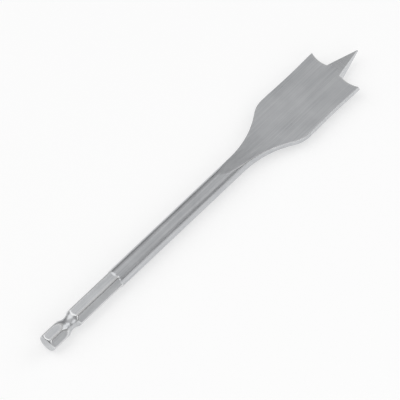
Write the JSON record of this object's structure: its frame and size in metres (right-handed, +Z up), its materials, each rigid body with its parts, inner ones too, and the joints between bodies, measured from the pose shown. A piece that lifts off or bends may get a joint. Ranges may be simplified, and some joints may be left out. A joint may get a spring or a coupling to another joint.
{
  "type": "spade drill bit",
  "caption": "Flat spade drill bit for wood: hexagonal tang with a ball groove, round shank, forged flat blade with hollow cutting edges, corner spurs and a long centre point.",
  "frame": {"origin": "centre of the end of the tang, on the axis of the bit", "axes": "+X along the axis to the tip, +Z up as the bit lies, square to the blade and to two flats of the hexagon"},
  "size_m": [0.152, 0.022, 0.0068],
  "materials": {
    "steel": "satin, with bright ground faces"
  },
  "bodies": {
    "root": {"spade_bit": "steel"}
  },
  "joints": []
}
